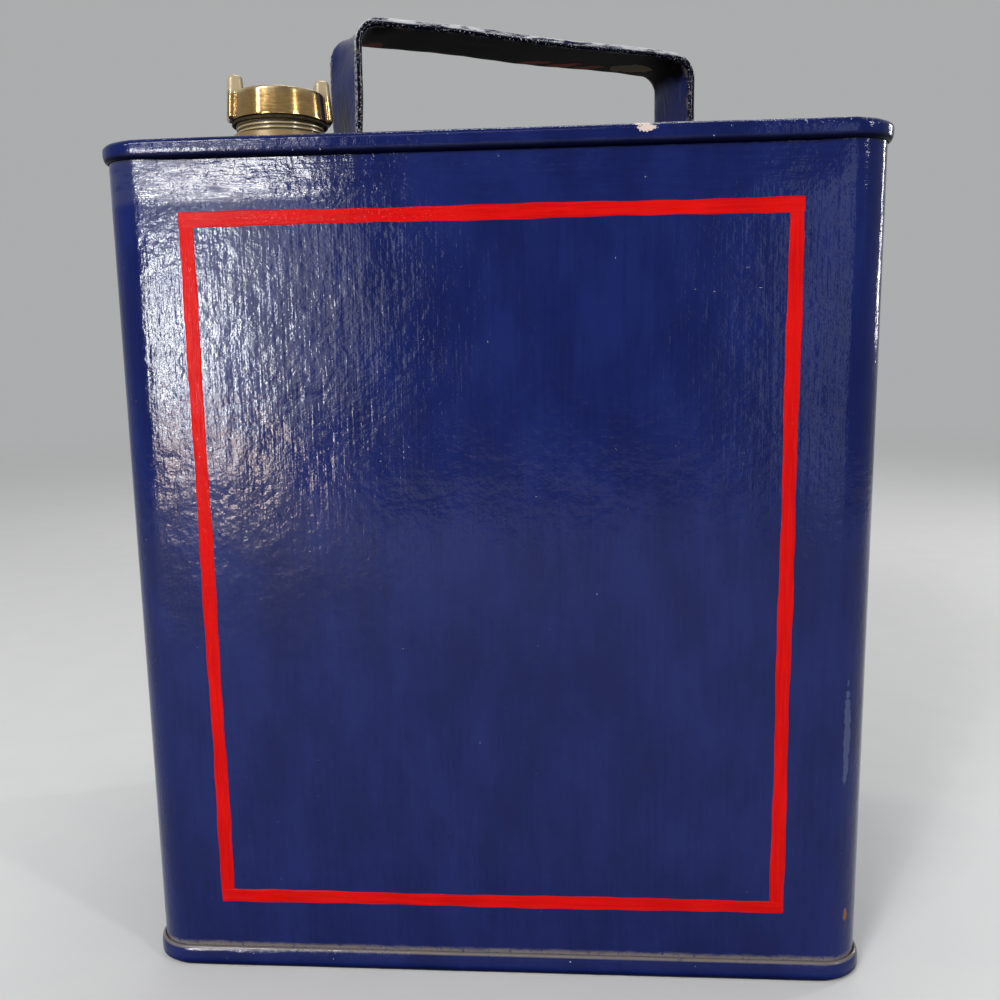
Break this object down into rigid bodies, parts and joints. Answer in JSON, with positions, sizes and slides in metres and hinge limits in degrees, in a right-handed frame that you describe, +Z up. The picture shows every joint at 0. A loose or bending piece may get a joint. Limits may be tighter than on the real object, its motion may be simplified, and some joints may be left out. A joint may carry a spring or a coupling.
{
  "type": "fuel can",
  "caption": "Upright rectangular steel fuel can with rolled rims, side lock seams, a diagonal strap handle and a brass screw cap with lugs on an offset neck.",
  "frame": {"origin": "centre of the base, on the ground that the base rim stands on", "axes": "+X along the width to the viewer's right, +Y along the depth away from the front face, +Z up"},
  "size_m": [0.2374, 0.1634, 0.3153],
  "materials": {
    "body_paint": "gloss, hand painted",
    "handle_paint": "gloss, hand painted",
    "bare_steel": "dull",
    "brass": "aged, satin",
    "solder": "dull",
    "washer": "oiled"
  },
  "bodies": {
    "can": {"front_shell": "body_paint", "back_shell": "body_paint", "top_panel": "body_paint", "base_panel": "body_paint", "handle_strap": "handle_paint", "handle_backing_left": "bare_steel", "handle_backing_right": "bare_steel", "handle_rivet_left_front": "handle_paint", "handle_rivet_left_back": "handle_paint", "handle_rivet_right_front": "handle_paint", "handle_rivet_right_back": "handle_paint", "neck_collar": "brass", "neck_solder": "solder", "seam_solder_left": "solder", "seam_solder_right": "solder"},
    "washer": {"cap_washer": "washer"},
    "cap": {"filler_cap": "brass"}
  },
  "joints": [
    {"name": "cap_lift", "type": "slide", "parent": "can", "child": "washer", "axis": [0, 0, 1], "range_m": [-0.0031, 0.0083]},
    {"name": "cap_turn", "type": "hinge", "parent": "washer", "child": "cap", "pos_m": [-0.07175, -0.03883, 0.2791], "axis": [0, 0, 1], "range_deg": [-834, 2232]}
  ],
  "couplings": [
    {"joint": "cap_lift", "follows": "cap_turn", "m_per_rad": 0.00021279}
  ]
}
